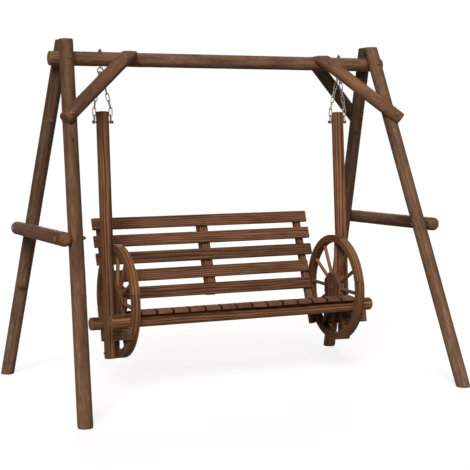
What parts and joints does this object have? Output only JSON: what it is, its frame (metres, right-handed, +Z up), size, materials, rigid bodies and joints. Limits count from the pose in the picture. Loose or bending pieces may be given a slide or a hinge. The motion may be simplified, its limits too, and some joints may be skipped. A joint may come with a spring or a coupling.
{
  "type": "swing bench",
  "caption": "Rustic garden swing bench: a round-log A-frame from which a slatted seat and back between wagon wheels hangs on chains and swings.",
  "frame": {"origin": "on the ground, in the middle between the four feet", "axes": "+X to the right along the top beam, +Y to the rear, +Z up"},
  "size_m": [2.1202, 1.519, 1.8],
  "materials": {
    "frame_logs": "carbonised round logs, satin oil",
    "bench_wood": "carbonised fir with strong light and dark grain, satin oil",
    "chain_steel": "zinc-plated steel",
    "bolt_steel": "dulled steel"
  },
  "bodies": {
    "frame": {"brace_front_left": "frame_logs", "brace_front_right": "frame_logs", "brace_rear_right": "frame_logs", "eye_bolt_left": "chain_steel", "eye_bolt_right": "chain_steel", "eye_nuts": "chain_steel", "leg_front_left": "frame_logs", "leg_front_right": "frame_logs", "leg_rear_left": "frame_logs", "leg_rear_right": "frame_logs", "spreader_left": "frame_logs", "spreader_right": "frame_logs", "top_beam": "frame_logs"},
    "chain_left": {"chain_left_inner": "chain_steel", "chain_left_outer": "chain_steel"},
    "chain_right": {"chain_right_inner": "chain_steel", "chain_right_outer": "chain_steel"},
    "bench": {"back_post_left": "bench_wood", "back_post_middle": "bench_wood", "back_post_right": "bench_wood", "back_slat_1": "bench_wood", "back_slat_2": "bench_wood", "back_slat_3": "bench_wood", "back_slat_4": "bench_wood", "back_slat_5": "bench_wood", "bearer_left": "bench_wood", "bearer_right": "bench_wood", "hanger_bolts": "bolt_steel", "hanger_left": "bench_wood", "hanger_nuts": "bolt_steel", "hanger_right": "bench_wood", "seat_log_front": "bench_wood", "seat_log_rear": "bench_wood", "seat_slat_01": "bench_wood", "seat_slat_02": "bench_wood", "seat_slat_03": "bench_wood", "seat_slat_04": "bench_wood", "seat_slat_05": "bench_wood", "seat_slat_06": "bench_wood", "seat_slat_07": "bench_wood", "seat_slat_08": "bench_wood", "seat_slat_09": "bench_wood", "seat_slat_10": "bench_wood", "seat_slat_11": "bench_wood", "seat_slat_12": "bench_wood", "seat_slat_13": "bench_wood", "seat_slat_14": "bench_wood", "wheel_left_felloes": "bench_wood", "wheel_left_hub": "bench_wood", "wheel_left_spokes": "bench_wood", "wheel_right_felloes": "bench_wood", "wheel_right_hub": "bench_wood", "wheel_right_spokes": "bench_wood"}
  },
  "joints": [
    {"name": "chain_left_swing", "type": "hinge", "parent": "frame", "child": "chain_left", "pos_m": [-0.69, 0, 1.6335], "axis": [1, 0, 0], "range_deg": [-25, 25]},
    {"name": "chain_right_swing", "type": "hinge", "parent": "frame", "child": "chain_right", "pos_m": [0.69, 0, 1.6335], "axis": [1, 0, 0], "range_deg": [-25, 25]},
    {"name": "bench_rock", "type": "hinge", "parent": "chain_left", "child": "bench", "pos_m": [-0.682, 0, 1.388], "axis": [1, 0, 0], "range_deg": [-10, 10]}
  ],
  "couplings": [
    {"joint": "chain_right_swing", "follows": "chain_left_swing", "ratio": 1}
  ]
}
